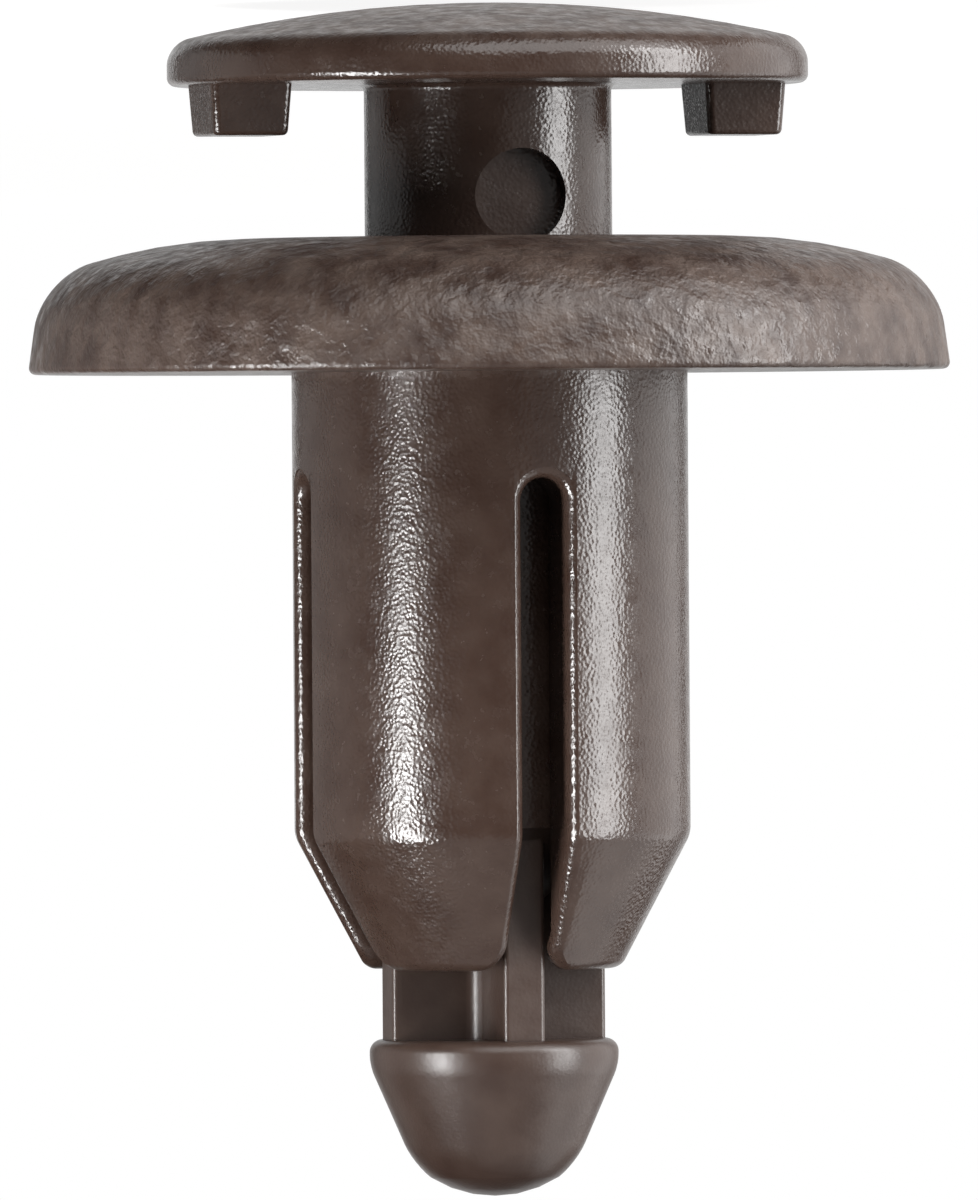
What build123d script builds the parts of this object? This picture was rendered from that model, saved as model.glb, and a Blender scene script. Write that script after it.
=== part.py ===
from build123d import *
from math import radians, tan
import os

# A two-piece plastic push rivet: a headed pin that stands half out of a split grommet.
# Sizes are in millimetres. The rivet stands on the crown of the pin's head, so +Z runs from the
# head to the nose and z = 0 is the top of the crown. The pin's ribs and the grommet's slots lie on
# the X and Y axes, the feet under the head on X and the recesses in the shank on Y.

# ---- pin: head, feet and shank
head_diameter = 12.95
head_height = 1.65  # crown to underside
head_crown_rise = 0.79  # how far the crown stands above its edge
head_rim_round = 0.56
head_lip_bevel = 0.14
foot_inner_radius = 4.3  # from the axis to the side that faces the shank
foot_length = 1.65  # along the radius
foot_width = 2.0
foot_height = 1.03
foot_draft = 4.0  # degrees
foot_corner_round = 0.16
foot_sole_bevel = 0.08
shank_diameter = 5.0
shank_root_bevel = 0.15
shank_end_angle = 45.0  # degrees from the axis
recess_diameter = 1.9
recess_depth = 1.2
recess_drop = 2.27  # head's underside to the recess's centre

# ---- pin: ribbed neck and nose
rib_span = 4.48  # over opposite ribs
rib_thickness = 0.86
rib_root_round = 0.3
rib_edge_round = 0.09
nose_diameter = 5.03
nose_land = 0.53  # straight band next to the shoulder
nose_shoulder_bevel = 0.2
nose_half_angle = 23.5  # degrees from the axis
nose_belly_round = 1.0  # between the band and the cone
nose_end_diameter = 3.3  # where the cone meets the dome
nose_dome_radius = 2.4
nose_end_round = 0.4

# ---- grommet: flange
flange_diameter = 18.64
flange_height = 2.7
flange_side_height = 1.98
flange_draft = 8.0  # degrees
flange_flat_diameter = 12.6  # level part of the face below the head
flange_shoulder_round = 1.6
flange_edge_bevel = 0.12

# ---- grommet: sleeve and legs
sleeve_diameter = 8.0
sleeve_length = 12.05  # flange to leg ends
leg_taper_length = 2.7
leg_taper_angle = 27.9  # degrees from the axis
leg_taper_round = 0.6
leg_end_round = 0.22
lip_diameter = 4.1  # bore between the leg ends
lip_length = 0.27
slot_drop = 2.15  # flange to the slots' rounded ends
slot_corner_round = 0.32  # where the slots leave the leg ends
bore_lead_in = 0.15

# ---- fits, and how far the pin can go from where it stands
bore_gap = 0.08  # shank to bore, on the radius
slot_gap = 0.035  # rib to slot, each side
cone_gap = 0.08  # shank's cone to the lips' cone, along the axis, with the pin right in
push_travel = 2.07  # feet to flange
pull_travel = 1.42  # nose's shoulder to leg ends

# ---- places that follow
shank_radius = shank_diameter / 2
rib_radius = rib_span / 2
nose_radius = nose_diameter / 2
nose_end_radius = nose_end_diameter / 2
flange_radius = flange_diameter / 2
flange_flat_radius = flange_flat_diameter / 2
sleeve_radius = sleeve_diameter / 2
bore_radius = shank_radius + bore_gap
lip_radius = lip_diameter / 2
slot_width = rib_thickness + 2 * slot_gap

flange_face_z = head_height + foot_height + push_travel
flange_seat_z = flange_face_z + flange_height
leg_end_z = flange_seat_z + sleeve_length
leg_taper_z = leg_end_z - leg_taper_length
slot_start_z = flange_seat_z + slot_drop
lip_z = leg_end_z - lip_length
lip_cone_z = lip_z - (bore_radius - lip_radius) / tan(radians(shank_end_angle))
shank_cone_z = lip_cone_z + bore_gap / tan(radians(shank_end_angle)) - cone_gap - push_travel
shoulder_z = leg_end_z + pull_travel
cut_margin = 1.0  # how far cutting tools run past what they cut


def corner_at(section, x, z):
    return section.vertices().sort_by_distance((x, 0, z))[0]


def rounded(section, radius, x, z):
    """The section with its corner nearest to (x, z) rounded."""
    return fillet(corner_at(section, x, z), radius)


def bevelled(section, length, x, z):
    """The section with its corner nearest to (x, z) bevelled."""
    return chamfer(corner_at(section, x, z), length)


def section_in_xz(*lines):
    return make_face(Plane.XZ * Curve(list(lines)))


def head():
    edge = head_diameter / 2
    section = section_in_xz(
        TangentArc((0, 0), (edge, head_crown_rise), tangent=(1, 0)),
        Polyline((edge, head_crown_rise), (edge, head_height), (0, head_height), (0, 0)),
    )
    section = rounded(section, head_rim_round, edge, head_crown_rise)
    section = bevelled(section, head_lip_bevel, edge, head_height)
    return revolve(section, Axis.Z)


def foot(side):
    """One of the two feet that stop the head on the flange; side is 1 or -1 along X."""
    middle = side * (foot_inner_radius + foot_length / 2)
    inset = 2 * foot_height * tan(radians(foot_draft))
    root = RectangleRounded(foot_length, foot_width, foot_corner_round)
    sole = RectangleRounded(foot_length - inset, foot_width - inset, foot_corner_round)
    base = Plane.XY.offset(head_height) * Pos(middle, 0)
    block = loft([base * root, base * Pos(0, 0, foot_height) * sole])
    return chamfer(block.faces().sort_by(Axis.Z)[-1].edges(), foot_sole_bevel)


def shank():
    """The round shank, from the head's underside to the point of the cone in the ribs."""
    point_z = shank_cone_z + (shank_radius - rib_thickness / 2) / tan(radians(shank_end_angle))
    section = section_in_xz(
        Polyline(
            (0, head_height),
            (shank_radius + shank_root_bevel, head_height),
            (shank_radius, head_height + shank_root_bevel),
            (shank_radius, shank_cone_z),
            (rib_thickness / 2, point_z),
            (0, point_z),
            (0, head_height),
        )
    )
    return revolve(section, Axis.Z)


def recess(side):
    """A blind round recess in the shank; side is 1 or -1 along Y."""
    floor = Plane(
        origin=(0, side * (shank_radius - recess_depth), head_height + recess_drop),
        z_dir=(0, side, 0),
    )
    return extrude(floor * Circle(recess_diameter / 2), recess_depth + cut_margin)


def ribs():
    """The cross of four ribs between the shank's cone and the nose."""
    cross = Rectangle(rib_span, rib_thickness) + Rectangle(rib_thickness, rib_span)
    corners = cross.vertices().sort_by(lambda corner: corner.center().length)
    cross = fillet(corners[:4], rib_root_round)
    tips = cross.vertices().sort_by(lambda corner: corner.center().length)[-8:]
    cross = fillet(tips, rib_edge_round)
    base = Plane.XY.offset(shank_cone_z) * cross
    return extrude(base, shoulder_z - shank_cone_z)


def nose():
    cone_z = shoulder_z + nose_land
    dome_z = cone_z + (nose_radius - nose_end_radius) / tan(radians(nose_half_angle))
    dome_rise = nose_dome_radius - (nose_dome_radius**2 - nose_end_radius**2) ** 0.5
    end_z = dome_z + dome_rise
    section = section_in_xz(
        Polyline(
            (0, end_z),
            (0, shoulder_z),
            (nose_radius, shoulder_z),
            (nose_radius, cone_z),
            (nose_end_radius, dome_z),
        ),
        TangentArc((0, end_z), (nose_end_radius, dome_z), tangent=(1, 0)),
    )
    section = bevelled(section, nose_shoulder_bevel, nose_radius, shoulder_z)
    section = rounded(section, nose_belly_round, nose_radius, cone_z)
    section = rounded(section, nose_end_round, nose_end_radius, dome_z)
    return revolve(section, Axis.Z)


def pin():
    body = head() + foot(1) + foot(-1) + shank() + ribs() + nose()
    return body - recess(1) - recess(-1)


def turned_grommet():
    """The grommet before its slots are cut: flange, sleeve, bore and the lips at the leg ends."""
    side_slope = tan(radians(flange_draft))
    side_z = flange_seat_z - flange_side_height
    side_radius = flange_radius - flange_side_height * side_slope
    leg_end_radius = sleeve_radius - leg_taper_length * tan(radians(leg_taper_angle))
    section = section_in_xz(
        Polyline(
            (flange_flat_radius, flange_face_z),
            (side_radius, side_z),
            (flange_radius, flange_seat_z),
            (sleeve_radius, flange_seat_z),
            (sleeve_radius, leg_taper_z),
            (leg_end_radius, leg_end_z),
            (lip_radius, leg_end_z),
            (lip_radius, lip_z),
            (bore_radius, lip_cone_z),
            (bore_radius, flange_face_z + bore_lead_in),
            (bore_radius + bore_lead_in, flange_face_z),
            (flange_flat_radius, flange_face_z),
        )
    )
    section = rounded(section, flange_shoulder_round, side_radius, side_z)
    section = bevelled(section, flange_edge_bevel, flange_radius, flange_seat_z)
    section = rounded(section, leg_taper_round, sleeve_radius, leg_taper_z)
    section = rounded(section, leg_end_round, leg_end_radius, leg_end_z)
    return revolve(section, Axis.Z)


def slot_pair():
    """A cutter for two opposite slots, on Y: round at the flange end, flared at the leg ends."""
    half = slot_width / 2
    flare_z = leg_end_z - slot_corner_round
    flare = half + slot_corner_round
    past_z = leg_end_z + cut_margin
    section = section_in_xz(
        ThreePointArc((-half, slot_start_z + half), (0, slot_start_z), (half, slot_start_z + half)),
        Line((half, slot_start_z + half), (half, flare_z)),
        TangentArc((half, flare_z), (flare, leg_end_z), tangent=(0, 1)),
        Polyline((flare, leg_end_z), (flare, past_z), (-flare, past_z), (-flare, leg_end_z)),
        TangentArc((-half, flare_z), (-flare, leg_end_z), tangent=(0, 1)),
        Line((-half, flare_z), (-half, slot_start_z + half)),
    )
    return extrude(section, sleeve_radius + cut_margin, both=True)


def grommet():
    """The slotted grommet. It is turned from a plane through the middle of a leg."""
    return Rot(0, 0, 45) * turned_grommet() - slot_pair() - Rot(0, 0, 90) * slot_pair()


os.makedirs("parts", exist_ok=True)
export_step(pin(), "parts/pin.step")
export_step(grommet(), "parts/grommet.step")
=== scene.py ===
from math import asin, cos, pi, radians, sin, sqrt, tan
from types import SimpleNamespace

import bmesh
import bpy
from mathutils import Matrix, Vector


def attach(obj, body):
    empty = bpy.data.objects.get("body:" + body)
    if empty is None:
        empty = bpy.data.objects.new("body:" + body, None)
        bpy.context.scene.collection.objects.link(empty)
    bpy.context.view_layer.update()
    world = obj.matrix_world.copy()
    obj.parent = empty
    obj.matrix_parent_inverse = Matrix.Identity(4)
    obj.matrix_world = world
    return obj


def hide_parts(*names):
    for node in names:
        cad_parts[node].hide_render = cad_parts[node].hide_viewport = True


# A two-piece plastic push rivet: a headed pin that stands half out of a split grommet. It stands on
# the crown of the pin's head, with +Z from the head to the nose. The grommet's slots and the pin's
# ribs lie on X and Y, the two feet under the head on X and the two recesses in the shank on Y.

bl_info = {
    "name": "Plastic push rivet",
    "version": (1, 0, 0),
    "blender": (4, 5, 0),
    "location": "View3D > Sidebar > Push rivet",
    "description": "Models a plastic push rivet and gives it its moulded finish",
    "category": "Add Mesh",
}

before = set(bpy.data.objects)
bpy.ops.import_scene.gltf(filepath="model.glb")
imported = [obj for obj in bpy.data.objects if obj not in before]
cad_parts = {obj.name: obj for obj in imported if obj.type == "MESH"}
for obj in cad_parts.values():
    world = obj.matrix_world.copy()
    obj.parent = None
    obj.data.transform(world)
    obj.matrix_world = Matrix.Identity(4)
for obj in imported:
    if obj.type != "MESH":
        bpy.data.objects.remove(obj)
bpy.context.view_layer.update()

# Pieces are drawn with one unit to the millimetre, then scaled to metres.
MM = 0.001
TURN_STEPS = 192  # faces round a turned piece
ARC_STEP = radians(5)  # one face of a rounded corner turns about this much
CROWN_STEPS = 8  # faces from the middle of the head's crown to its edge
NOSE_END_STEPS = 4  # faces from the middle of the nose's end to its edge
FOOT_CORNER_STEPS = 5
FOOT_SOLE_STEPS = 4
RECESS_STEPS = 72
SMOOTH_ANGLE = radians(32)  # a sharper edge than this is not smoothed over
MERGE = 0.0005  # mm; vertices nearer to each other than this are one
CUT_MARGIN = 1.0  # mm that a cutter runs past what it cuts
RING_GAP = 0.05  # mm from a cut to a ring of edges that keeps the cut's shading to itself

# The slot cutters widen at the sleeve's skin, to round the legs' long edges, and at the leg ends.
EDGE_TURN = radians(74)  # how far round an edge the cutter goes before it meets the skin
EDGE_STEPS = 6
EDGE_LIFT = 0.07  # of the edges' radius, that the rounding starts outside the skin
MOUTH_REACH = 1.2  # mm that the mouth spreads to each side
MOUTH_RISE = 0.35  # mm that its sides climb as they spread
MOUTH_DROP = 0.14  # of the mouth's radius, that its sides start short of the leg ends
BEND_STEPS = (-1.0, -0.5, 0.0, 0.5, 1.0)  # cuts across the bend into the taper, in half widths
TAPER_STEPS = (0.25, 0.5, 0.75)  # cuts across the taper, as shares of its length

FLOOR_STEPS = 96  # corners of the round floor
FLOOR_GLOW = 1.2
FLOOR_GLOW_SHARE = 0.75  # of what the camera sees of the floor, so that it shows white
ROOM_GLOW = 0.03
SENSOR = 36.0  # mm, the long side of the camera's sensor
NEAREST_SEEN = 0.01  # m from the camera

# A Mix node has sockets of the same name for each kind of data, so its colours go by number.
MIX_FIRST = 6
MIX_SECOND = 7
MIX_RESULT = 2


# ---------------------------------------------------------------- settings


def length(name, description, millimetres):
    """A length that the user can set."""
    return bpy.props.FloatProperty(
        name=name,
        description=description,
        default=millimetres * MM,
        min=0.0,
        precision=5,
        unit="LENGTH",
    )


def angle(name, description, degrees):
    """An angle that the user can set."""
    return bpy.props.FloatProperty(
        name=name, description=description, default=radians(degrees), subtype="ANGLE"
    )


class PinSizes(bpy.types.PropertyGroup):
    """Sizes of the pin."""

    head_diameter: length("Head diameter", "Across the pin's head", 12.95)
    head_height: length("Head height", "Crown to underside", 1.65)
    head_crown_rise: length("Crown rise", "How far the crown stands above its edge", 0.79)
    head_rim_round: length("Rim round", "Radius between the crown and the rim", 0.56)
    head_lip_round: length("Lip round", "Radius at the rim's lower edge", 0.17)
    foot_inner_radius: length("Foot radius", "From the axis to a foot's inner side", 4.3)
    foot_length: length("Foot length", "Along the radius", 1.78)
    foot_width: length("Foot width", "Across the radius", 2.0)
    foot_height: length("Foot height", "Head's underside to the sole", 1.03)
    foot_draft: angle("Foot draft", "Slope of the feet's sides", 4.0)
    foot_corner_round: length("Foot corner round", "Radius of the upright corners", 0.16)
    foot_sole_round: length("Foot sole round", "Radius round the sole", 0.1)
    shank_diameter: length("Shank diameter", "Across the round shank", 5.0)
    shank_root_round: length("Shank root round", "Radius between head and shank", 0.15)
    shank_cone_z: length("Cone place", "Where the shank's cone starts", 16.63)
    recess_diameter: length("Recess diameter", "Across the blind recesses", 1.9)
    recess_depth: length("Recess depth", "How deep the recesses go in", 0.55)
    recess_drop: length("Recess drop", "Head's underside to the recess's centre", 2.27)
    rib_span: length("Rib span", "Over opposite ribs", 4.48)
    rib_thickness: length("Rib thickness", "Across one rib", 0.86)
    rib_root_round: length("Rib root round", "Radius between neighbouring ribs", 0.3)
    rib_edge_round: length("Rib edge round", "Radius of the ribs' outer edges", 0.1)
    shoulder_z: length("Shoulder place", "Where the nose's shoulder stands", 20.92)
    nose_diameter: length("Nose diameter", "Across the nose's straight band", 5.03)
    nose_land: length("Nose band", "Length of the straight band", 0.53)
    nose_shoulder_round: length("Shoulder round", "Radius round the shoulder", 0.26)
    nose_half_angle: angle("Nose angle", "Slope of the nose's cone from the axis", 23.5)
    nose_belly_round: length("Belly round", "Radius between the band and the cone", 1.0)
    nose_end_diameter: length("Nose end diameter", "Where the cone meets the dome", 3.3)
    nose_dome_radius: length("Dome radius", "Radius of the nose's domed end", 2.4)
    nose_end_round: length("Nose end round", "Radius between the cone and the dome", 1.7)


class GrommetSizes(bpy.types.PropertyGroup):
    """Sizes of the grommet."""

    flange_diameter: length("Flange diameter", "Across the flange", 18.64)
    flange_face_z: length("Face place", "Where the flange's level face stands", 4.75)
    flange_seat_z: length("Seat place", "Where the flange rests on a panel", 7.45)
    flange_side_height: length("Flange side", "Height of the drafted side", 1.98)
    flange_draft: angle("Flange draft", "Slope of the flange's side", 8.0)
    flange_flat_diameter: length("Flange flat", "Across the level face", 12.6)
    flange_flat_round: length("Flange flat round", "Radius between face and slope", 9.0)
    flange_shoulder_round: length("Flange shoulder round", "Radius above the side", 1.6)
    flange_edge_round: length("Flange edge round", "Radius at the seat's edge", 0.14)
    sleeve_diameter: length("Sleeve diameter", "Across the sleeve", 8.0)
    bore_diameter: length("Bore diameter", "Across the bore that the shank fills", 5.16)
    bore_lead_in: length("Bore lead-in", "Bevel at the bore's mouth", 0.15)
    leg_end_z: length("Leg end place", "Where the legs end", 19.5)
    leg_taper_length: length("Taper length", "Length of the legs' taper", 2.7)
    leg_taper_angle: angle("Taper angle", "Slope of the taper from the axis", 27.9)
    leg_taper_round: length("Taper round", "Radius where the taper starts", 0.6)
    leg_end_round: length("Leg end round", "Radius at the legs' ends", 0.32)
    leg_edge_round: length("Leg edge round", "Radius of the legs' long edges", 0.3)
    lip_diameter: length("Lip diameter", "Across the bore between the lips", 4.1)
    lip_length: length("Lip length", "Length of the lips", 0.27)
    lip_cone_angle: angle("Lip cone angle", "Slope into the lips from the axis", 45.0)
    slot_width: length("Slot width", "Between neighbouring legs", 0.93)
    slot_drop: length("Slot drop", "Flange to the slots' round ends", 2.15)
    slot_mouth_round: length("Slot mouth round", "Radius where a slot leaves the leg ends", 0.55)


def in_millimetres(settings):
    """The settings' numbers, with the lengths in millimetres."""
    values = SimpleNamespace()
    for prop in settings.bl_rna.properties:
        if prop.type == "FLOAT" and not prop.is_array:
            value = getattr(settings, prop.identifier)
            setattr(values, prop.identifier, value / MM if prop.unit == "LENGTH" else value)
    return values


def colour(name, description, code):
    """A colour that the user can set, from its sRGB hex code."""
    return bpy.props.FloatVectorProperty(
        name=name,
        description=description,
        default=linear(code),
        size=3,
        min=0.0,
        max=1.0,
        subtype="COLOR",
    )


def linear(code):
    """An sRGB hex code as linear red, green and blue."""
    channels = [int(code[i : i + 2], 16) / 255 for i in (1, 3, 5)]
    return tuple(c / 12.92 if c <= 0.04045 else ((c + 0.055) / 1.055) ** 2.4 for c in channels)


class FinishSettings(bpy.types.PropertyGroup):
    """Colours of the plastic and the stage."""

    plastic: colour("Plastic", "The moulded nylon's main colour", "#33251f")
    # Paler clouds of random tone on all of the skin. On the coarse flange and crown they are also
    # painted sheen: paler patches that stand in for light scattered by the lumpy skin.
    plastic_pale: colour("Pale plastic", "Paler random clouds, and painted sheen on the coarse skin", "#50433c")
    floor: colour("Floor", "The pale floor", "#f4f3f1")


class StageSettings(bpy.types.PropertyGroup):
    """The floor, and where the camera and the lamps stand."""

    floor_radius: length("Floor radius", "How far the floor reaches", 300.0)
    camera_azimuth: angle("Camera azimuth", "From -Y towards +X", 16.3)
    camera_roll: angle("Camera roll", "About the line of sight", 179.6)
    camera_distance: length("Camera distance", "From the rivet's axis", 400.0)
    camera_height: length("Camera height", "Above the floor", 9.8)
    aim_height: length("Aim height", "Where camera and lamps point, above the floor", 12.06)
    view_height: length("View height", "What the image's height takes in", 24.24)
    shift_x: bpy.props.FloatProperty(
        name="Shift", description="The lens's sideways shift", default=-0.0017, subtype="FACTOR"
    )
    strip_distance: length("Strip distance", "From the rivet to the near strip", 40.0)
    lamp_distance: length("Lamp distance", "From the rivet to the other lamps", 350.0)


# ---------------------------------------------------------------- modelling by hand


def deselect_all():
    bpy.ops.object.select_all(action="DESELECT")


def make_active(piece):
    deselect_all()
    piece.select_set(True)
    bpy.context.view_layer.objects.active = piece


def select_where(piece, kind, test):
    """In edit mode, select the vertices (VERT), edges (EDGE) or faces (FACE) that pass the test."""
    bpy.ops.mesh.select_mode(type=kind)
    mesh = bmesh.from_edit_mesh(piece.data)
    for element in {"VERT": mesh.verts, "EDGE": mesh.edges, "FACE": mesh.faces}[kind]:
        element.select_set(test(element))
    mesh.select_flush_mode()
    bmesh.update_edit_mesh(piece.data)


def select_vertices(piece, test):
    """In edit mode, select the vertices whose place passes the test."""
    select_where(piece, "VERT", lambda vertex: test(vertex.co))


def select_edges(piece, test):
    """In edit mode, select the edges whose two ends pass the test."""
    select_where(piece, "EDGE", lambda edge: test(*(vertex.co for vertex in edge.verts)))


def select_faces(piece, test):
    """In edit mode, select the faces whose middle passes the test."""
    select_where(piece, "FACE", lambda face: test(face.calc_center_median()))


def draw(name, corners, closed=False, level=False):
    """Draw a line from corner to corner in XZ, or in XY if it is level, and stay in edit mode.

    A corner is its two places and, if it is to be rounded, a radius.
    """

    def place(corner):
        return Vector((corner[0], corner[1], 0) if level else (corner[0], 0, corner[1]))

    deselect_all()
    bpy.ops.mesh.primitive_plane_add(size=1)
    piece = bpy.context.object
    piece.name = name
    bpy.ops.object.mode_set(mode="EDIT")
    bpy.ops.mesh.select_mode(type="VERT")
    bpy.ops.mesh.select_all(action="SELECT")
    bpy.ops.mesh.merge(type="CENTER")
    bpy.ops.transform.translate(value=place(corners[0]))
    for last, corner in zip(corners, corners[1:]):
        step = place(corner) - place(last)
        bpy.ops.mesh.extrude_region_move(TRANSFORM_OT_translate={"value": step})
    if closed:
        ends = (place(corners[0]), place(corners[-1]))
        select_vertices(piece, lambda co: min((co - end).length for end in ends) < MERGE)
        bpy.ops.mesh.edge_face_add()
    for i, corner in enumerate(corners):
        if len(corner) > 2:
            here = place(corner)
            before = here - place(corners[i - 1])
            turn = before.angle(place(corners[(i + 1) % len(corners)]) - here)
            select_vertices(piece, lambda co: (co - here).length < MERGE)
            bpy.ops.mesh.bevel(
                affect="VERTICES",
                offset_type="OFFSET",
                offset=corner[2] * tan(turn / 2),
                segments=max(3, round(turn / ARC_STEP)),
                clamp_overlap=False,
            )
    bpy.ops.mesh.select_all(action="SELECT")
    bpy.ops.mesh.remove_doubles(threshold=MERGE)
    return piece


def turned(name, corners, closed=False):
    """A piece turned about Z from the line through the corners."""
    piece = draw(name, corners, closed)
    bpy.ops.mesh.spin(steps=TURN_STEPS, angle=2 * pi, center=(0, 0, 0), axis=(0, 0, 1))
    tidy_mesh()
    return piece


def tidy_mesh():
    """Merge what coincides, turn the faces outwards and leave edit mode."""
    bpy.ops.mesh.select_all(action="SELECT")
    bpy.ops.mesh.remove_doubles(threshold=MERGE)
    bpy.ops.mesh.normals_make_consistent(inside=False)
    bpy.ops.object.mode_set(mode="OBJECT")


def dome(edge, rise, steps):
    """Places on a domed end from the axis to its edge, as radius and height above the pole."""
    radius = (edge**2 + rise**2) / (2 * rise)
    span = asin(edge / radius)
    turns = [span * i / steps for i in range(steps + 1)]
    return [(radius * sin(turn), radius - radius * cos(turn)) for turn in turns]


def combine(piece, other, operation):
    """Join the other solid to the piece, or cut it away, and delete it."""
    make_active(piece)
    bpy.ops.object.modifier_add(type="BOOLEAN")
    modifier = piece.modifiers[-1]
    modifier.operation = operation
    modifier.solver = "EXACT"
    modifier.object = other
    bpy.ops.object.modifier_apply(modifier=modifier.name)
    make_active(other)
    bpy.ops.object.delete()
    make_active(piece)


def quarter_turns(piece, turns):
    """Copies of the piece, turned about Z by these numbers of quarter turns and made one."""
    copies = []
    for turn in turns:
        make_active(piece)
        bpy.ops.object.duplicate()
        copy = bpy.context.object
        copy.matrix_world = Matrix.Rotation(turn * pi / 2, 4, "Z")
        copies.append(copy)
    make_active(piece)
    bpy.ops.object.delete()
    make_active(copies[0])
    for copy in copies:
        copy.select_set(True)
    bpy.ops.object.transform_apply(location=True, rotation=True, scale=True)
    bpy.ops.object.join()
    return bpy.context.object


def finish_piece(piece, node, body, material):
    """Scale the piece to metres, smooth its shading, and let it stand for its node."""
    make_active(piece)
    piece.scale = (MM, MM, MM)
    bpy.ops.object.transform_apply(location=True, rotation=True, scale=True)
    bpy.ops.object.shade_smooth_by_angle(angle=SMOOTH_ANGLE)
    bpy.ops.object.modifier_add(type="WEIGHTED_NORMAL")
    modifier = piece.modifiers[-1]
    modifier.keep_sharp = True
    bpy.ops.object.modifier_apply(modifier=modifier.name)
    piece.data.materials.clear()
    piece.data.materials.append(material)
    if len(piece.data.polygons) == 0:
        raise RuntimeError(f"{piece.name} has no faces")
    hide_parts(node)
    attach(piece, body)


# ---------------------------------------------------------------- materials


def add_node(tree, kind, values=None, links=None, **options):
    """Add a node with its options, and its inputs' values and links by their names or numbers."""
    node = tree.nodes.new(kind)
    for name, value in options.items():
        setattr(node, name, value)
    for name, value in (values or {}).items():
        node.inputs[name].default_value = value
    for name, output in (links or {}).items():
        tree.links.new(output, node.inputs[name])
    return node


def new_material(name):
    """An empty material and its node tree."""
    material = bpy.data.materials.new(name)
    material.use_nodes = True
    material.node_tree.nodes.clear()
    return material, material.node_tree


def moulded_nylon(name, coarse_below, smooth_above, lump_depth):
    """Unpainted nylon, injection moulded in a spark-eroded cavity.

    The eroded steel leaves a skin of fine glossy grains. Below one height the cavity was eroded
    coarser, so the skin is lumpy and dull there, and its colour has paler patches that are partly
    random tone and partly painted sheen; above another height it was polished.
    Heights and depths are in millimetres.
    """
    colours = bpy.context.scene.push_rivet_finish
    coarse_low, coarse_high = ((coarse_below + blend) * MM for blend in (-0.2, 0.2))
    polish_low, polish_high = ((smooth_above + blend) * MM for blend in (-1.0, 1.0))
    crater = 0.075  # mm across, a little coarser than the real grain so that it shows
    crater_depth = 0.008  # mm
    material, tree = new_material(name)
    place = add_node(tree, "ShaderNodeTexCoord").outputs["Object"]
    height = add_node(tree, "ShaderNodeSeparateXYZ", links={"Vector": place}).outputs["Z"]

    # Grains of three sizes in millimetres: lumps, patches of gloss and clouds of colour. On the
    #     # coarse skin the clouds are partly random tone and partly painted sheen.
    grains = {}
    for grain, size, roughness in (
        ("lumps", 0.4, 0.55),
        ("patches", 0.3, 0.6),
        ("clouds", 0.9, 0.55),
    ):
        noise = add_node(
            tree,
            "ShaderNodeTexNoise",
            values={"Scale": 1 / (size * MM), "Detail": 3.0, "Roughness": roughness},
            links={"Vector": place},
        )
        grains[grain] = noise.outputs["Fac"]

    # Each share below goes from its first value to its second as what it follows goes from the
    #     # one limit to the other: where the skin is coarse, lumpy or eroded, how rough the eroded,
    #     the
    #     # polished and the coarse skin are, how pale the fine skin is in random clouds, and how
    #     pale the
    #     # coarse skin is in patches that are partly random tone and partly painted sheen.
    share = {}
    for use, source, low, high, first, second in (
        ("coarse", height, coarse_low, coarse_high, 1.0, 0.0),
        ("lumpy", height, coarse_low, coarse_high, 1.0, 0.04),
        ("eroded", height, polish_low, polish_high, 1.0, 0.3),
        ("glossy", grains["patches"], 0.35, 0.65, 0.19, 0.28),
        ("satin", grains["patches"], 0.35, 0.65, 0.40, 0.44),
        ("dull", grains["patches"], 0.35, 0.65, 0.32, 0.55),
        ("clouded", grains["clouds"], 0.3, 0.7, 0.0, 0.35),
        ("mottle_and_sheen", grains["clouds"], 0.35, 0.65, 0.0, 1.0),
    ):
        ramp = add_node(
            tree,
            "ShaderNodeMapRange",
            values={"From Min": low, "From Max": high, "To Min": first, "To Max": second},
            links={"Value": source},
        )
        share[use] = ramp.outputs["Result"]

    # The skins' values are blended where one skin gives way to the next.
    for use, where, first, second in (
        ("fine roughness", "eroded", "satin", "glossy"),
        ("roughness", "coarse", "fine roughness", "dull"),
        ("paleness_and_sheen", "coarse", "clouded", "mottle_and_sheen"),
    ):
        blend = add_node(
            tree,
            "ShaderNodeMapRange",
            links={"Value": share[where], "To Min": share[first], "To Max": share[second]},
        )
        share[use] = blend.outputs["Result"]

    lumps = add_node(
        tree,
        "ShaderNodeBump",
        values={"Distance": lump_depth * MM},
        links={"Height": grains["lumps"], "Strength": share["lumpy"]},
    )
    craters = add_node(
        tree,
        "ShaderNodeTexVoronoi",
        values={"Scale": 1 / (crater * MM), "Smoothness": 0.6},
        links={"Vector": place},
        feature="SMOOTH_F1",
    )
    relief = add_node(
        tree,
        "ShaderNodeBump",
        values={"Distance": crater_depth * MM},
        links={
            "Height": craters.outputs["Distance"],
            "Strength": share["eroded"],
            "Normal": lumps.outputs["Normal"],
        },
    )
    # Paler where the clouds are: random tone on the fine skin, and on the coarse skin random tone
    # together with painted sheen.
    tint = add_node(
        tree,
        "ShaderNodeMix",
        values={MIX_FIRST: (*colours.plastic, 1.0), MIX_SECOND: (*colours.plastic_pale, 1.0)},
        links={"Factor": share["paleness_and_sheen"]},
        data_type="RGBA",
    )
    shader = add_node(
        tree,
        "ShaderNodeBsdfPrincipled",
        values={"IOR": 1.53},
        links={
            "Base Color": tint.outputs[MIX_RESULT],
            "Roughness": share["roughness"],
            "Normal": relief.outputs["Normal"],
        },
    )
    add_node(tree, "ShaderNodeOutputMaterial", links={"Surface": shader.outputs["BSDF"]})
    return material


# ---------------------------------------------------------------- operators


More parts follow.
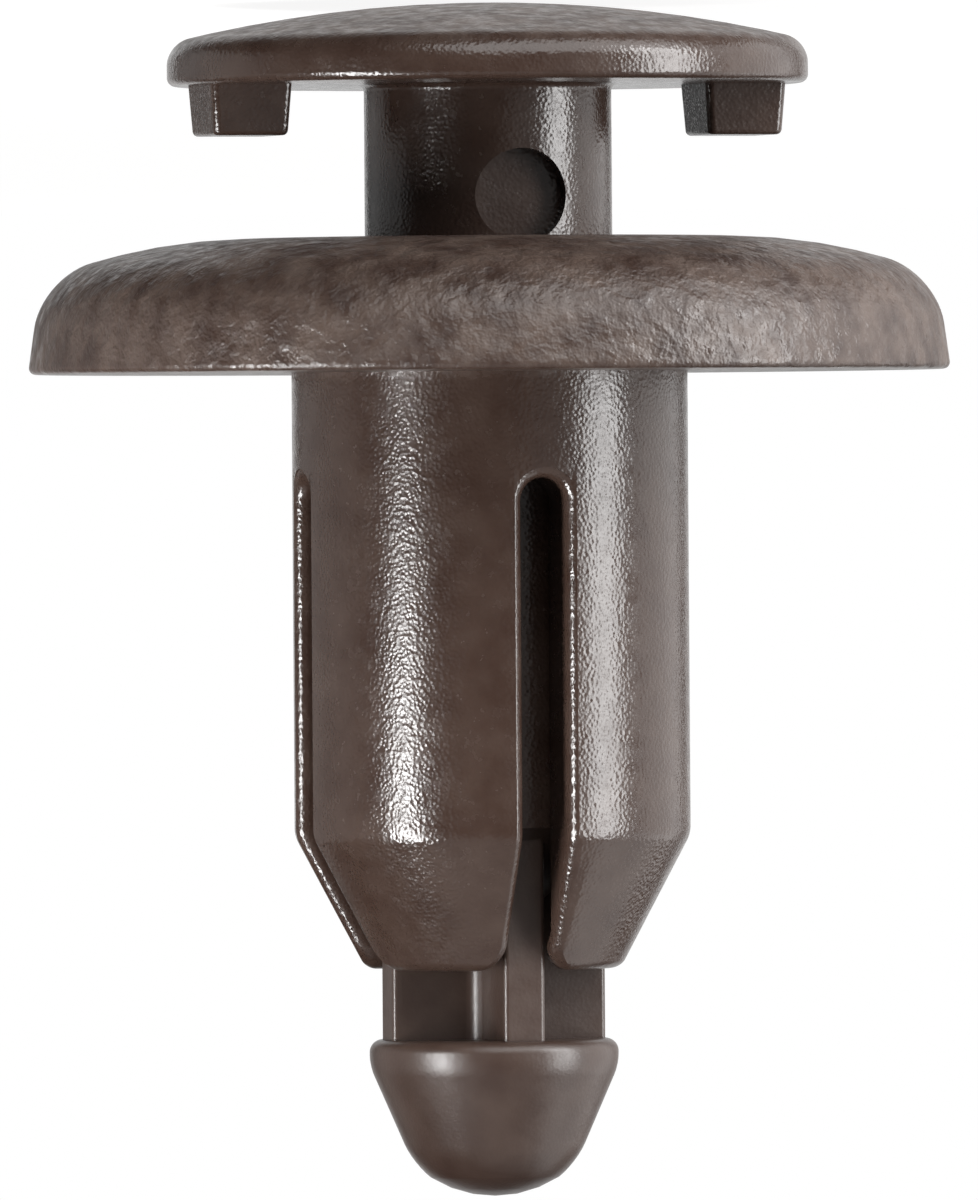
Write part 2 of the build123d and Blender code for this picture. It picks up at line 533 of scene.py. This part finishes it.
class RIVET_OT_pin(bpy.types.Operator):
    """Model the pin: head with two feet, recessed shank, ribbed neck and nose"""

    bl_idname = "push_rivet.pin"
    bl_label = "Pin"

    def execute(self, context):
        s = in_millimetres(context.scene.push_rivet_pin)
        pin = self.head_and_shank(s)
        combine(pin, self.feet(s), "UNION")
        combine(pin, self.ribs(s), "UNION")
        combine(pin, self.nose(s), "UNION")
        combine(pin, self.recesses(s), "DIFFERENCE")
        pin.name = "moulded_pin"
        material = moulded_nylon("moulded nylon, pin", s.head_crown_rise, s.shank_cone_z, 0.03)
        finish_piece(pin, "pin", "pin", material)
        return {"FINISHED"}

    def head_and_shank(self, s):
        """The head and the round shank, up to the point of the cone in the ribs."""
        edge = s.head_diameter / 2
        shank = s.shank_diameter / 2
        point_z = s.shank_cone_z + shank - s.rib_thickness / 2
        recess_z = s.head_height + s.recess_drop
        ring = s.recess_diameter / 2 + RING_GAP  # rings of edges above and below the recesses
        crown = dome(edge, s.head_crown_rise, CROWN_STEPS)
        return turned(
            "pin",
            [
                *crown[:-1],
                (*crown[-1], s.head_rim_round),
                (edge, s.head_height, s.head_lip_round),
                (shank, s.head_height, s.shank_root_round),
                (shank, recess_z - ring),
                (shank, recess_z + ring),
                (shank, s.shank_cone_z),
                (s.rib_thickness / 2, point_z),
                (0, point_z),
            ],
        )

    def feet(self, s):
        """The two feet that stop the head on the flange. Their roots are sunk in the head."""
        sunk = s.head_height / 3
        height = s.foot_height + sunk
        root_z = s.head_height - sunk
        deselect_all()
        bpy.ops.mesh.primitive_cube_add(size=1)
        foot = bpy.context.object
        bpy.ops.object.mode_set(mode="EDIT")
        bpy.ops.transform.resize(value=(s.foot_length, s.foot_width, height))
        middle = (s.foot_inner_radius + s.foot_length / 2, 0, root_z + height / 2)
        bpy.ops.transform.translate(value=middle)
        select_faces(foot, lambda co: co.z > root_z + height - MERGE)
        taper = 2 * height * tan(s.foot_draft)
        shrink = (1 - taper / s.foot_length, 1 - taper / s.foot_width, 1)
        bpy.ops.transform.resize(value=shrink)
        select_edges(foot, lambda a, b: abs(a.z - b.z) > height / 2)
        bpy.ops.mesh.bevel(
            offset=s.foot_corner_round, segments=FOOT_CORNER_STEPS, clamp_overlap=False
        )
        select_faces(foot, lambda co: co.z > root_z + height - MERGE)
        bpy.ops.mesh.select_mode(type="EDGE")
        bpy.ops.mesh.region_to_loop()
        bpy.ops.mesh.bevel(
            offset=s.foot_sole_round, segments=FOOT_SOLE_STEPS, clamp_overlap=False
        )
        tidy_mesh()
        return quarter_turns(foot, (0, 2))

    def ribs(self, s):
        """The cross of four ribs between the shank's cone and the nose."""
        tip = s.rib_span / 2
        side = s.rib_thickness / 2
        arm = [
            (side, side, s.rib_root_round),
            (tip, side, s.rib_edge_round),
            (tip, -side, s.rib_edge_round),
        ]
        corners = []
        for turn in (0, 3, 2, 1):
            across = Matrix.Rotation(turn * pi / 2, 2)
            corners += [(*(across @ Vector((x, y))), rounding) for x, y, rounding in arm]
        ribs = draw("ribs", corners, closed=True, level=True)
        bpy.ops.transform.translate(value=(0, 0, s.shank_cone_z))
        bpy.ops.mesh.edge_face_add()
        rise = s.shoulder_z + s.nose_land - s.shank_cone_z
        bpy.ops.mesh.extrude_region_move(TRANSFORM_OT_translate={"value": (0, 0, rise)})
        tidy_mesh()
        return ribs

    def nose(self, s):
        """The nose: a straight band at the shoulder, a cone and a domed end."""
        edge = s.nose_diameter / 2
        end = s.nose_end_diameter / 2
        cone_z = s.shoulder_z + s.nose_land
        dome_z = cone_z + (edge - end) / tan(s.nose_half_angle)
        rise = s.nose_dome_radius - sqrt(s.nose_dome_radius**2 - end**2)
        end_z = dome_z + rise
        cap = [(x, end_z - z) for x, z in dome(end, rise, NOSE_END_STEPS)]
        return turned(
            "nose",
            [
                (0, s.shoulder_z),
                (edge, s.shoulder_z, s.nose_shoulder_round),
                (edge, cone_z, s.nose_belly_round),
                (*cap[-1], s.nose_end_round),
                *cap[-2::-1],
            ],
        )

    def recesses(self, s):
        """Cutters for the two blind recesses in the shank."""
        reach = s.recess_depth + CUT_MARGIN
        floor = s.shank_diameter / 2 - s.recess_depth
        deselect_all()
        bpy.ops.mesh.primitive_cylinder_add(
            vertices=RECESS_STEPS,
            radius=s.recess_diameter / 2,
            depth=reach,
            location=(0, floor + reach / 2, s.head_height + s.recess_drop),
            rotation=(pi / 2, 0, 0),
        )
        cutter = bpy.context.object
        bpy.ops.object.transform_apply(location=True, rotation=True, scale=True)
        return quarter_turns(cutter, (0, 2))


class RIVET_OT_grommet(bpy.types.Operator):
    """Model the grommet: domed flange, sleeve and four split legs with lips inside"""

    bl_idname = "push_rivet.grommet"
    bl_label = "Grommet"

    def execute(self, context):
        s = in_millimetres(context.scene.push_rivet_grommet)
        grommet = self.body(s)
        combine(grommet, self.slots(s), "DIFFERENCE")
        grommet.name = "moulded_grommet"
        material = moulded_nylon("moulded nylon, grommet", s.flange_seat_z, s.leg_end_z, 0.1)
        finish_piece(grommet, "grommet", "grommet", material)
        return {"FINISHED"}

    def body(self, s):
        """The grommet before its slots are cut: flange, sleeve, bore and lips."""
        flange = s.flange_diameter / 2
        side_z = s.flange_seat_z - s.flange_side_height
        side = flange - s.flange_side_height * tan(s.flange_draft)
        flat = s.flange_flat_diameter / 2
        sleeve = s.sleeve_diameter / 2
        bore = s.bore_diameter / 2
        lip = s.lip_diameter / 2
        taper_z = s.leg_end_z - s.leg_taper_length
        leg_end = sleeve - s.leg_taper_length * tan(s.leg_taper_angle)
        lip_z = s.leg_end_z - s.lip_length
        lip_cone_z = lip_z - (bore - lip) / tan(s.lip_cone_angle)
        slot_z = s.flange_seat_z + s.slot_drop - s.leg_edge_round
        ring_z = slot_z - RING_GAP  # a ring of edges below the slots
        return turned(
            "grommet",
            [
                (flat, s.flange_face_z, s.flange_flat_round),
                (side, side_z, s.flange_shoulder_round),
                (flange, s.flange_seat_z, s.flange_edge_round),
                (sleeve, s.flange_seat_z),
                (sleeve, ring_z),
                (sleeve, taper_z, s.leg_taper_round),
                (leg_end, s.leg_end_z, s.leg_end_round),
                (lip, s.leg_end_z),
                (lip, lip_z),
                (bore, lip_cone_z),
                (bore, s.flange_face_z + s.bore_lead_in),
                (bore + s.bore_lead_in, s.flange_face_z),
            ],
            closed=True,
        )

    def slots(self, s):
        """Cutters for the four slots.

        A cutter is drawn at its widest, outside the sleeve, pushed in to the skin and narrowed
        there in steps, so that it rounds the legs' long edges as it cuts.
        """
        half = s.slot_width / 2
        turns = [EDGE_TURN * i / EDGE_STEPS for i in range(EDGE_STEPS, -1, -1)]
        flare = s.leg_edge_round * (1 - cos(EDGE_TURN))
        sleeve = s.sleeve_diameter / 2
        skin = self.skin(s, 0.0) + s.leg_edge_round * EDGE_LIFT
        start_z = s.flange_seat_z + s.slot_drop - flare
        mouth_z = s.leg_end_z - flare - s.slot_mouth_round * MOUTH_DROP
        past_z = s.leg_end_z + CUT_MARGIN
        wide = half + flare
        far = wide + MOUTH_REACH
        right = [
            (wide, start_z, wide),
            (wide, mouth_z, s.slot_mouth_round - flare),
            (far, mouth_z + MOUTH_RISE),
            (far, past_z),
        ]
        left = [(-x, *rest) for x, *rest in reversed(right)]
        cutter = draw("slot cutter", left + right, closed=True)
        outer = sleeve + CUT_MARGIN
        bpy.ops.transform.translate(value=(0, outer, 0))
        bpy.ops.mesh.edge_face_add()
        level = skin - s.leg_edge_round * (1 - sin(EDGE_TURN))
        step = (0, level - outer, 0)
        bpy.ops.mesh.extrude_region_move(TRANSFORM_OT_translate={"value": step})
        bpy.ops.mesh.select_all(action="SELECT")
        bpy.ops.mesh.normals_make_consistent(inside=False)
        select_faces(cutter, lambda co: abs(co.y - level) < MERGE)
        for last, turn in zip(turns, turns[1:]):
            bpy.ops.mesh.inset(
                thickness=s.leg_edge_round * (cos(turn) - cos(last)),
                depth=s.leg_edge_round * (sin(last) - sin(turn)),
            )
        level = skin - s.leg_edge_round
        step = (0, s.lip_diameter / 4 - level, 0)
        bpy.ops.mesh.extrude_region_move(TRANSFORM_OT_translate={"value": step})
        self.follow_taper(s, cutter)
        tidy_mesh()
        return quarter_turns(cutter, (0, 1, 2, 3))

    def skin(self, s, drop):
        """From the axis to the skin beside a slot, where the skin has dropped by this much."""
        beside = s.slot_width / 2 + s.leg_edge_round / 2
        return sqrt((s.sleeve_diameter / 2 - drop) ** 2 - beside**2)

    def follow_taper(self, s, cutter):
        """Move the cutter's wide part in along the legs' taper."""
        taper_z = s.leg_end_z - s.leg_taper_length
        slope = tan(s.leg_taper_angle)
        reach = s.leg_taper_round * tan(s.leg_taper_angle / 2)
        full = self.skin(s, 0.0)
        cuts = [reach * step for step in BEND_STEPS]
        cuts += [s.leg_taper_length * step for step in TAPER_STEPS]
        for past in cuts:
            bpy.ops.mesh.select_all(action="SELECT")
            bpy.ops.mesh.bisect(plane_co=(0, 0, taper_z + past), plane_no=(0, 0, 1))
        mesh = bmesh.from_edit_mesh(cutter.data)
        for vertex in mesh.verts:
            past = vertex.co.z - taper_z
            if past > -reach and vertex.co.y > full / 2:
                bent = (past + reach) ** 2 * slope / (4 * reach)
                drop = bent if past < reach else past * slope
                vertex.co.y -= full - self.skin(s, drop)
        bmesh.update_edit_mesh(cutter.data)


class RIVET_OT_stage(bpy.types.Operator):
    """Set up the floor, the lamps, the world and the camera"""

    bl_idname = "push_rivet.stage"
    bl_label = "Stage"

    def execute(self, context):
        scene = context.scene
        s = scene.push_rivet_stage
        scene.view_settings.view_transform = "Standard"
        self.floor(scene, s)
        self.world(scene)
        self.lamps(s)
        self.camera(scene, s)
        return {"FINISHED"}

    def floor(self, scene, s):
        """A pale floor that shows white, with a trace of the rivet's shadow.

        Only the camera sees it. The rivet stands on its crown, so a floor that blocked light would
        hide the lamps that light the crown from below.
        """
        deselect_all()
        bpy.ops.mesh.primitive_circle_add(
            vertices=FLOOR_STEPS, radius=s.floor_radius, fill_type="NGON"
        )
        floor = bpy.context.object
        floor.name = "floor"
        material, tree = new_material("matte pale floor")
        shade = add_node(
            tree,
            "ShaderNodeBsdfDiffuse",
            values={"Color": (*scene.push_rivet_finish.floor, 1.0)},
        )
        white = add_node(tree, "ShaderNodeEmission", values={"Strength": FLOOR_GLOW})
        path = add_node(tree, "ShaderNodeLightPath")
        share = add_node(
            tree,
            "ShaderNodeMath",
            values={1: FLOOR_GLOW_SHARE},
            links={0: path.outputs["Is Camera Ray"]},
            operation="MULTIPLY",
        )
        mix = add_node(
            tree,
            "ShaderNodeMixShader",
            links={
                0: share.outputs["Value"],
                1: shade.outputs["BSDF"],
                2: white.outputs["Emission"],
            },
        )
        add_node(tree, "ShaderNodeOutputMaterial", links={"Surface": mix.outputs["Shader"]})
        floor.data.materials.append(material)
        floor.visible_diffuse = False
        floor.visible_glossy = False
        floor.visible_transmission = False
        floor.visible_shadow = False

    def world(self, scene):
        """A dim even room that the camera sees as white."""
        world = bpy.data.worlds.new("studio")
        scene.world = world
        world.use_nodes = True
        tree = world.node_tree
        tree.nodes.clear()
        path = add_node(tree, "ShaderNodeLightPath")
        strength = add_node(
            tree,
            "ShaderNodeMapRange",
            values={"From Min": 0.0, "From Max": 1.0, "To Min": ROOM_GLOW, "To Max": 1.0},
            links={"Value": path.outputs["Is Camera Ray"]},
        )
        light = add_node(
            tree,
            "ShaderNodeBackground",
            values={"Color": (1.0, 1.0, 1.0, 1.0)},
            links={"Strength": strength.outputs["Result"]},
        )
        add_node(tree, "ShaderNodeOutputWorld", links={"Surface": light.outputs["Background"]})

    def lamps(self, s):
        """The lamps: one near strip, and panels further off."""
        near = s.strip_distance
        far = s.lamp_distance
        # The speckled streak down the left of the sleeve, and the even light beside it
        self.lamp(s, "left strip", near, turn=50, rise=20.5, spread=9.5, tall=38, glow=42.0)
        self.lamp(s, "left panel", far, turn=115, rise=0, spread=60, tall=50, glow=0.4)
        # The same on the right, and on the right of the legs' taper
        self.lamp(s, "right box", far, turn=-69, rise=-6, spread=22, tall=64, glow=12.0)
        self.lamp(s, "right panel", far, turn=-118, rise=-6, spread=52, tall=60, glow=1.5)
        self.lamp(s, "right fill", far, turn=-35, rise=0, spread=34, tall=40, glow=0.3)
        self.lamp(s, "right taper panel", far, turn=-104, rise=38, spread=44, tall=36, glow=1.1)
        # The edges from behind, the crown and flange, and the taper and nose
        self.lamp(s, "back glow", far, turn=180, rise=-10, spread=50, tall=90, glow=0.9)
        self.lamp(s, "crown glow", far, turn=-38, rise=-48, spread=80, tall=44, glow=3.2)
        self.lamp(s, "nose glow", far, turn=-30, rise=58, spread=90, tall=56, glow=0.4)

    def lamp(self, s, name, distance, turn, rise, spread, tall, glow):
        """A soft box that faces the rivet.

        Its turn from the camera, its rise towards the nose, and how wide and tall it looks from
        the rivet are in degrees. Its glow is how bright its face is.
        """
        azimuth = s.camera_azimuth + radians(turn)
        rise = radians(rise)
        away = Vector((sin(azimuth) * cos(rise), -cos(azimuth) * cos(rise), sin(rise)))
        width = 2 * distance * tan(radians(spread) / 2)
        height = 2 * distance * tan(radians(tall) / 2)
        deselect_all()
        place = away * distance + Vector((0, 0, s.aim_height))
        bpy.ops.object.light_add(type="AREA", location=place)
        lamp = bpy.context.object
        lamp.name = name
        lamp.rotation_euler = (-away).to_track_quat("-Z", "Y").to_euler()
        lamp.data.shape = "RECTANGLE"
        lamp.data.size = width
        lamp.data.size_y = height
        lamp.data.energy = glow * width * height * pi  # watts that make a face of this size glow so
        lamp.visible_camera = False

    def camera(self, scene, s):
        """A long lens a little above the floor, turned over so that the head is on top."""
        away = Vector((sin(s.camera_azimuth), -cos(s.camera_azimuth), 0))
        place = away * s.camera_distance + Vector((0, 0, s.camera_height))
        target = Vector((0, 0, s.aim_height))
        bpy.ops.object.camera_add(location=place)
        camera = bpy.context.object
        look = (target - place).to_track_quat("-Z", "Y").to_matrix()
        camera.rotation_euler = (look @ Matrix.Rotation(s.camera_roll, 3, "Z")).to_euler()
        camera.data.sensor_width = SENSOR
        camera.data.lens = SENSOR * s.camera_distance / s.view_height
        camera.data.shift_x = s.shift_x
        camera.data.clip_start = NEAREST_SEEN
        scene.camera = camera


class RIVET_PT_panel(bpy.types.Panel):
    """The rivet's sizes, colours and operators"""

    bl_idname = "RIVET_PT_panel"
    bl_label = "Push rivet"
    bl_space_type = "VIEW_3D"
    bl_region_type = "UI"
    bl_category = "Push rivet"

    def draw(self, context):
        scene = context.scene
        for operator in OPERATORS:
            self.layout.operator(operator.bl_idname)
        for name, _ in SETTINGS:
            box = self.layout.box()
            settings = getattr(scene, name)
            for prop in settings.bl_rna.properties:
                if prop.identifier not in {"rna_type", "name"}:
                    box.prop(settings, prop.identifier)


SETTINGS = (
    ("push_rivet_pin", PinSizes),
    ("push_rivet_grommet", GrommetSizes),
    ("push_rivet_finish", FinishSettings),
    ("push_rivet_stage", StageSettings),
)
OPERATORS = (RIVET_OT_stage, RIVET_OT_pin, RIVET_OT_grommet)


def register():
    for name, group in SETTINGS:
        bpy.utils.register_class(group)
        setattr(bpy.types.Scene, name, bpy.props.PointerProperty(type=group))
    for kind in (*OPERATORS, RIVET_PT_panel):
        bpy.utils.register_class(kind)


def unregister():
    for kind in (RIVET_PT_panel, *reversed(OPERATORS)):
        bpy.utils.unregister_class(kind)
    for name, group in reversed(SETTINGS):
        delattr(bpy.types.Scene, name)
        bpy.utils.unregister_class(group)


def main():
    register()
    bpy.ops.push_rivet.stage()
    bpy.ops.push_rivet.pin()
    bpy.ops.push_rivet.grommet()


if __name__ == "__main__":
    main()
